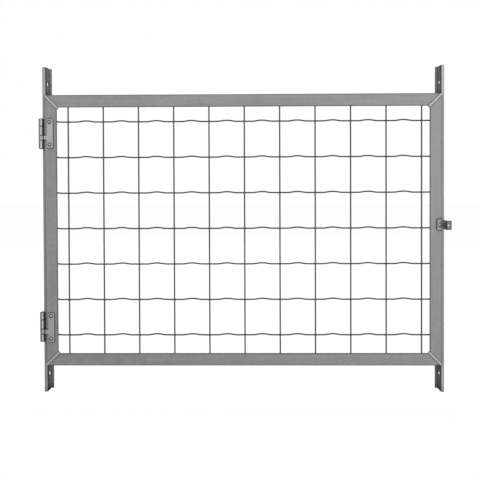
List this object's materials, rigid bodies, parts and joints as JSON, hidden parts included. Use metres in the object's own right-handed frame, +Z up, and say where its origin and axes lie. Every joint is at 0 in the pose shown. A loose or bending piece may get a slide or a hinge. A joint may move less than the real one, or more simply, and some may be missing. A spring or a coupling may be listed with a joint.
{
  "type": "livestock panel gate",
  "caption": "Galvanised mesh hatch gate for a livestock panel: a mitred angle frame with crimped wire mesh, hung on riveted butt hinges between Z-section wall rails.",
  "frame": {"origin": "midway between the two fixing holes of the hinge-side rail, on the outer face of that rail's web", "axes": "+X from the hinge side to the latch side, +Y from the front (the side it opens towards) to the back, +Z up"},
  "size_m": [1.1563, 0.07, 0.93],
  "materials": {
    "galvanised_rail": "hot-dip galvanised sheet, satin",
    "galvanised_angle": "hot-dip galvanised angle, dull with spangle",
    "galvanised_wire": "galvanised drawn wire, satin",
    "weld_bead": "galvanised over a rippled weld bead",
    "zinc_hardware": "zinc-plated pressed steel, satin",
    "rivet_steel": "zinc-plated domed heads, lightly polished"
  },
  "bodies": {
    "rails": {"hinge_rail": "galvanised_rail", "latch_rail": "galvanised_rail", "upper_hinge_rail_plate": "zinc_hardware", "lower_hinge_rail_plate": "zinc_hardware", "upper_hinge_pin": "rivet_steel", "lower_hinge_pin": "rivet_steel", "hinge_rail_welds": "weld_bead"},
    "gate_leaf": {"leaf_top_angle": "galvanised_angle", "leaf_bottom_angle": "galvanised_angle", "leaf_hinge_stile": "galvanised_angle", "leaf_latch_stile": "galvanised_angle", "corner_weld_top_hinge": "weld_bead", "corner_weld_top_latch": "weld_bead", "corner_weld_bottom_hinge": "weld_bead", "corner_weld_bottom_latch": "weld_bead", "upright_wire_01": "galvanised_wire", "upright_wire_02": "galvanised_wire", "upright_wire_03": "galvanised_wire", "upright_wire_04": "galvanised_wire", "upright_wire_05": "galvanised_wire", "upright_wire_06": "galvanised_wire", "upright_wire_07": "galvanised_wire", "upright_wire_08": "galvanised_wire", "upright_wire_09": "galvanised_wire", "upright_wire_10": "galvanised_wire", "upright_wire_11": "galvanised_wire", "cross_wire_1": "galvanised_wire", "cross_wire_2": "galvanised_wire", "cross_wire_3": "galvanised_wire", "cross_wire_4": "galvanised_wire", "cross_wire_5": "galvanised_wire", "cross_wire_6": "galvanised_wire", "cross_wire_7": "galvanised_wire", "upper_hinge_gate_plate": "zinc_hardware", "lower_hinge_gate_plate": "zinc_hardware", "upper_hinge_rivets": "rivet_steel", "lower_hinge_rivets": "rivet_steel", "latch_bracket": "zinc_hardware", "latch_rivet": "rivet_steel"}
  },
  "joints": [
    {"name": "gate_swing", "type": "hinge", "parent": "rails", "child": "gate_leaf", "pos_m": [-0.0088, -0.0245, 0], "axis": [0, 0, -1], "range_deg": [0, 168]}
  ]
}
